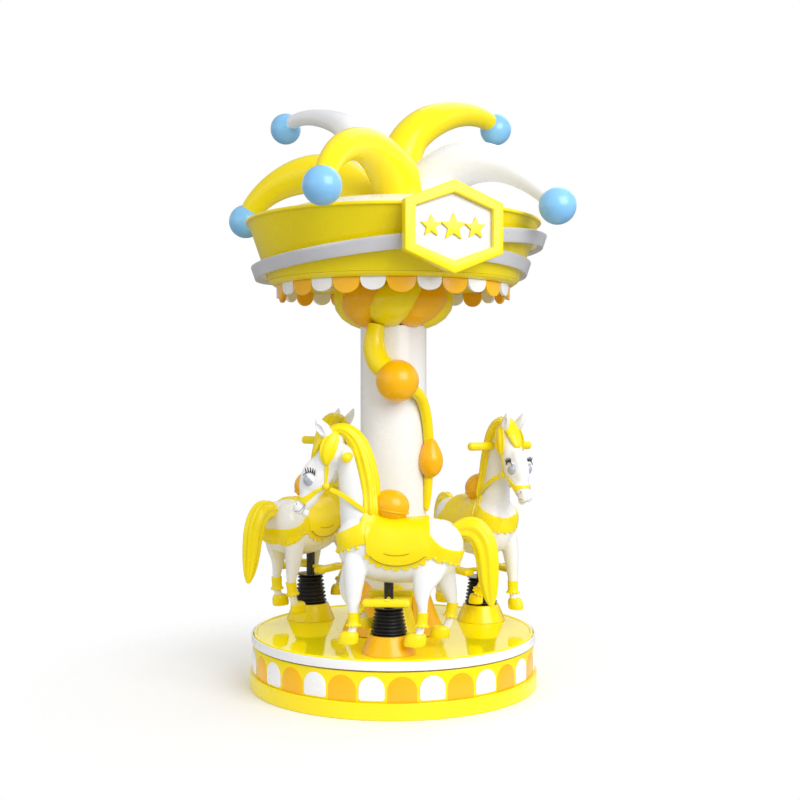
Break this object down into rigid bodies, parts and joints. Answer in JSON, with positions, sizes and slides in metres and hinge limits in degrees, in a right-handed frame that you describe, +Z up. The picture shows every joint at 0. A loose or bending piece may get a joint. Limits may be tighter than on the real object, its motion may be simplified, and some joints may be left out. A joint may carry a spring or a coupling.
{
  "type": "fairground carousel",
  "caption": "Small fairground carousel: leaping horses on a turning deck round a column, under a jester-hat canopy with curved horns and balls.",
  "frame": {"origin": "on the ground, at the middle of the base's underside, on the axis the deck turns about", "axes": "+Z up along the column; -Y towards the horse that faces the viewer side-on (the front horse); +X to the viewer's right"},
  "size_m": [1.5326, 1.6384, 2.6886],
  "materials": {
    "yellow": "gloss painted fibreglass",
    "orange": "gloss painted fibreglass",
    "white": "gloss painted fibreglass",
    "sky_blue": "gloss painted fibreglass",
    "silver": "silver-white gloss paint on fibreglass",
    "rubber": "matt black rubber",
    "black_steel": "black painted steel",
    "steel_plate": "grey painted steel"
  },
  "bodies": {
    "base": {"base_skirt": "yellow", "arch_drum": "yellow", "floor_plate": "steel_plate"},
    "rotor": {"rim_band": "white", "deck": "yellow", "pedestal_front": "yellow", "pedestal_right": "yellow", "pedestal_left": "yellow", "bellows_front": "rubber", "bellows_right": "rubber", "bellows_left": "rubber", "column_foot": "orange", "column": "white", "capital": "orange", "column_vine": "orange", "hat_soffit": "yellow", "valance": "orange", "hat_ring": "yellow", "ribbon_closed": "silver", "ribbon_half": "silver", "badge_frame": "yellow", "badge_panel": "white", "crown": "white", "horn_1": "yellow", "horn_2": "yellow", "horn_3": "white", "horn_4": "yellow", "horn_5": "white", "ball_1": "sky_blue", "ball_2": "sky_blue", "ball_3": "sky_blue", "ball_4": "sky_blue", "ball_5": "sky_blue"},
    "horse_front": {"pole_front": "black_steel", "horse_front": "white", "saddle_front": "orange", "mane_front": "yellow", "tail_front": "yellow"},
    "horse_right": {"pole_right": "black_steel", "horse_right": "white", "saddle_right": "orange", "mane_right": "yellow", "tail_right": "yellow"},
    "horse_left": {"pole_left": "black_steel", "horse_left": "white", "saddle_left": "orange", "mane_left": "yellow", "tail_left": "yellow"}
  },
  "joints": [
    {"name": "carousel_spin", "type": "hinge", "parent": "base", "child": "rotor", "pos_m": [0, 0, 0], "axis": [0, 0, 1], "continuous": true},
    {"name": "horse_front_lift", "type": "slide", "parent": "rotor", "child": "horse_front", "axis": [0, 0, 1], "range_m": [-0.02, 0.09], "deforming": ["bellows_front"]},
    {"name": "horse_right_lift", "type": "slide", "parent": "rotor", "child": "horse_right", "axis": [0, 0, 1], "range_m": [-0.035, 0.075], "deforming": ["bellows_right"]},
    {"name": "horse_left_lift", "type": "slide", "parent": "rotor", "child": "horse_left", "axis": [0, 0, 1], "range_m": [-0.045, 0.065], "deforming": ["bellows_left"]}
  ]
}
